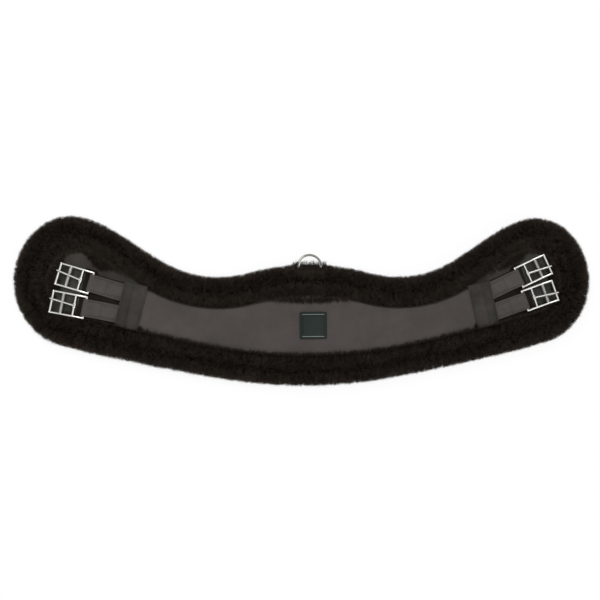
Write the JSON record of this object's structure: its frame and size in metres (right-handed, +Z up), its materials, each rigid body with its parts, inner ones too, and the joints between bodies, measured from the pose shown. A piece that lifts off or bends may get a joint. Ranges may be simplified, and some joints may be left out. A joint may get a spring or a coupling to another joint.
{
  "type": "saddle girth",
  "caption": "Anatomical dressage girth with a rolled fur border, a grey face band, hinged roller buckles on short straps at both ends and a ring at the front edge.",
  "frame": {"origin": "on the ground under the middle of the girth, which lies face up on its fur side", "axes": "+X along the girth to its right end, +Y to the front edge with the ring, +Z up"},
  "size_m": [0.8058, 0.2319, 0.0369],
  "materials": {
    "fur": "deep pile",
    "foam": "matte foam",
    "panel_fabric": "woven",
    "webbing": "woven tape",
    "face_leather": "matte",
    "band_leather": "matte",
    "label": "matte",
    "steel": "polished",
    "roller_steel": "satin"
  },
  "bodies": {
    "girth": {"fur_roll": "fur", "fur_lining": "fur", "foam_core": "foam", "base_panel": "panel_fabric", "load_web_front": "webbing", "load_web_rear": "webbing", "centre_band": "face_leather", "cross_band_left": "band_leather", "cross_band_right": "band_leather", "label_patch": "label", "ring_tab": "webbing", "strap_left_front": "face_leather", "strap_left_rear": "face_leather", "strap_right_front": "face_leather", "strap_right_rear": "face_leather"},
    "buckle_left_front": {"buckle_frame_left_front": "steel"},
    "tongue_left_front": {"buckle_tongue_left_front": "steel"},
    "roller_left_front": {"buckle_roller_left_front": "roller_steel"},
    "buckle_left_rear": {"buckle_frame_left_rear": "steel"},
    "tongue_left_rear": {"buckle_tongue_left_rear": "steel"},
    "roller_left_rear": {"buckle_roller_left_rear": "roller_steel"},
    "buckle_right_front": {"buckle_frame_right_front": "steel"},
    "tongue_right_front": {"buckle_tongue_right_front": "steel"},
    "roller_right_front": {"buckle_roller_right_front": "roller_steel"},
    "buckle_right_rear": {"buckle_frame_right_rear": "steel"},
    "tongue_right_rear": {"buckle_tongue_right_rear": "steel"},
    "roller_right_rear": {"buckle_roller_right_rear": "roller_steel"},
    "ring": {"d_ring": "steel"}
  },
  "joints": [
    {"name": "buckle_swing_left_front", "type": "hinge", "parent": "girth", "child": "buckle_left_front", "pos_m": [-0.30009, 0.0268, 0.026], "axis": [0.2924, 0.9563, 0], "range_deg": [0, 75]},
    {"name": "tongue_swing_left_front", "type": "hinge", "parent": "buckle_left_front", "child": "tongue_left_front", "pos_m": [-0.31417, 0.03111, 0.02529], "axis": [0.2924, 0.9563, 0], "range_deg": [0, 105]},
    {"name": "roller_spin_left_front", "type": "hinge", "parent": "buckle_left_front", "child": "roller_left_front", "pos_m": [-0.32981, 0.03589, 0.02749], "axis": [0.2924, 0.9563, 0], "continuous": true},
    {"name": "buckle_swing_left_rear", "type": "hinge", "parent": "girth", "child": "buckle_left_rear", "pos_m": [-0.30816, -0.00653, 0.026], "axis": [0.1994, 0.9799, 0], "range_deg": [0, 75]},
    {"name": "tongue_swing_left_rear", "type": "hinge", "parent": "buckle_left_rear", "child": "tongue_left_rear", "pos_m": [-0.32258, -0.00359, 0.02529], "axis": [0.1994, 0.9799, 0], "range_deg": [0, 105]},
    {"name": "roller_spin_left_rear", "type": "hinge", "parent": "buckle_left_rear", "child": "roller_left_rear", "pos_m": [-0.33861, -0.00033, 0.02749], "axis": [0.1994, 0.9799, 0], "continuous": true},
    {"name": "buckle_swing_right_front", "type": "hinge", "parent": "girth", "child": "buckle_right_front", "pos_m": [0.29754, 0.03345, 0.026], "axis": [0.4226, -0.9063, 0], "range_deg": [0, 75]},
    {"name": "tongue_swing_right_front", "type": "hinge", "parent": "buckle_right_front", "child": "tongue_right_front", "pos_m": [0.31088, 0.03966, 0.02529], "axis": [0.4226, -0.9063, 0], "range_deg": [0, 105]},
    {"name": "roller_spin_right_front", "type": "hinge", "parent": "buckle_right_front", "child": "roller_right_front", "pos_m": [0.3257, 0.04658, 0.02749], "axis": [0.4226, -0.9063, 0], "continuous": true},
    {"name": "buckle_swing_right_rear", "type": "hinge", "parent": "girth", "child": "buckle_right_rear", "pos_m": [0.30626, 0.00033, 0.026], "axis": [0.3338, -0.9426, 0], "range_deg": [0, 75]},
    {"name": "tongue_swing_right_rear", "type": "hinge", "parent": "buckle_right_rear", "child": "tongue_right_rear", "pos_m": [0.32013, 0.00524, 0.02529], "axis": [0.3338, -0.9426, 0], "range_deg": [0, 105]},
    {"name": "roller_spin_right_rear", "type": "hinge", "parent": "buckle_right_rear", "child": "roller_right_rear", "pos_m": [0.33555, 0.0107, 0.02749], "axis": [0.3338, -0.9426, 0], "continuous": true},
    {"name": "ring_swing", "type": "hinge", "parent": "girth", "child": "ring", "pos_m": [0, 0.049, 0.0185], "axis": [1, 0, 0], "range_deg": [0, 100]}
  ]
}
